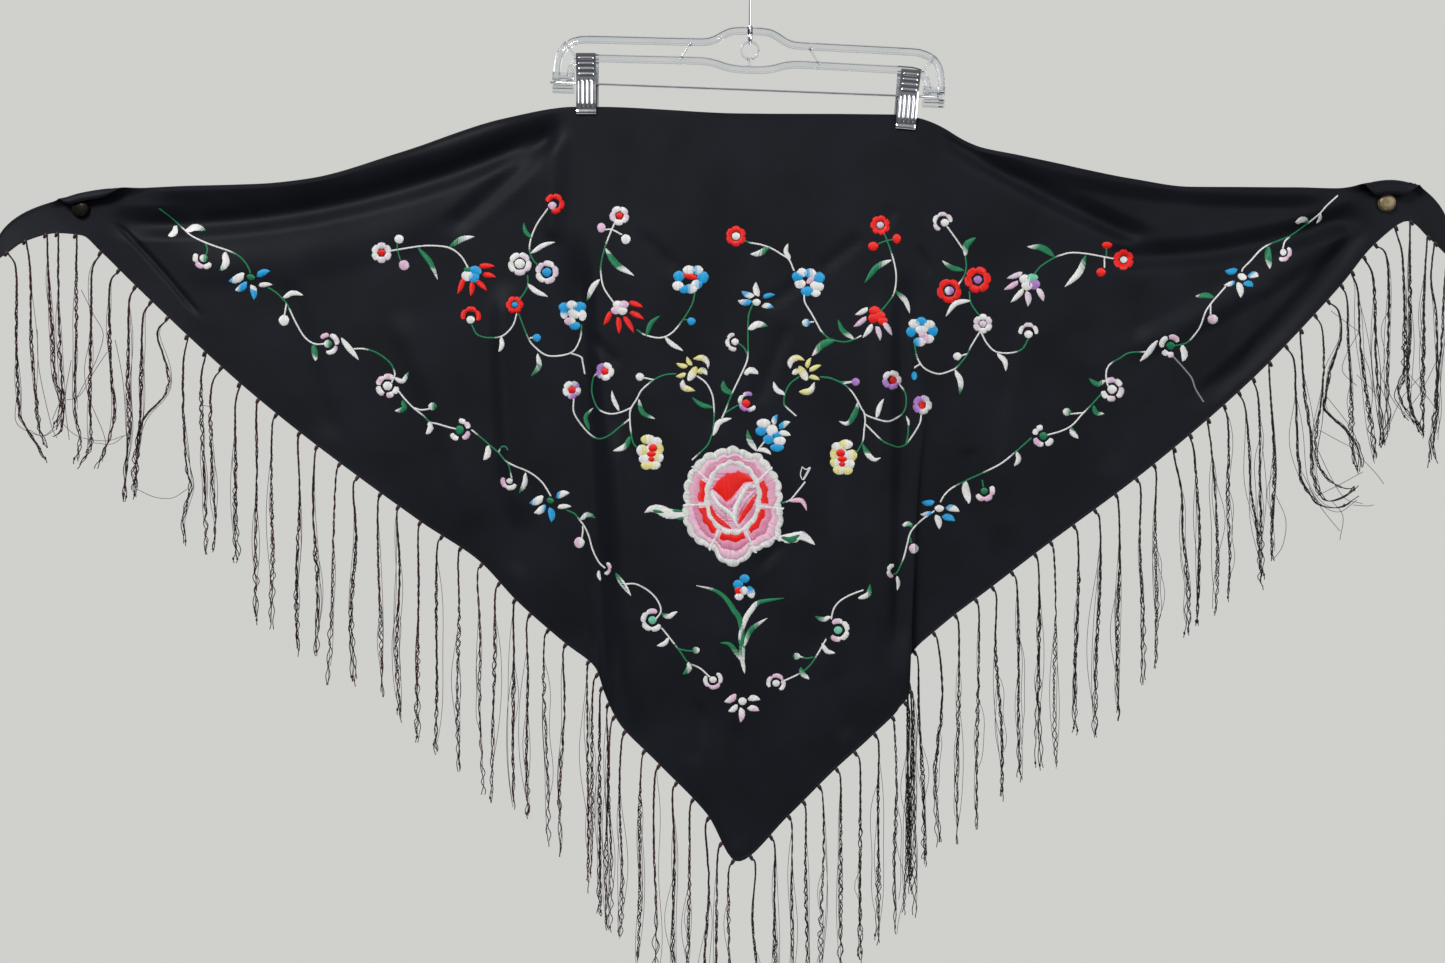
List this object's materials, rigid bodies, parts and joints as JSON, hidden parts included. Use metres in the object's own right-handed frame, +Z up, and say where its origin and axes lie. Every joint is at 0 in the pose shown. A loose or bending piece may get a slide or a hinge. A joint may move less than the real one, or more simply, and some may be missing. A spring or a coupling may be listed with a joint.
{
  "type": "fringed shawl on clip hanger",
  "caption": "Triangular black silk shawl with embroidered flowers and a long knotted fringe, hung from a clip hanger with its ends tacked out wide.",
  "frame": {"origin": "inside of the hanger hook's crown, where a rail or nail carries it", "axes": "+X to the right as the shawl is seen, the cloth's front faces -Y, +Z up"},
  "size_m": [1.3368, 0.0313, 1.0321],
  "materials": {
    "cloth": "black silk twill with a soft sheen",
    "fringe": "twisted black silk cord",
    "embroidery": "glossy satin-stitch silk in several colours",
    "clear_plastic": "clear moulded plastic",
    "chrome": "bright plated steel",
    "brass": "dull brass"
  },
  "bodies": {
    "root": {"shawl_panel": "cloth", "fringe_left": "fringe", "fringe_right": "fringe", "hanger_frame": "clear_plastic", "hanger_hook": "chrome", "hook_ferrule": "chrome", "hanger_rod": "chrome", "clip_left_front": "chrome", "clip_left_back": "chrome", "clip_left_spring": "chrome", "clip_right_front": "chrome", "clip_right_back": "chrome", "clip_right_spring": "chrome", "tack_left": "brass", "tack_right": "brass"}
  },
  "joints": []
}
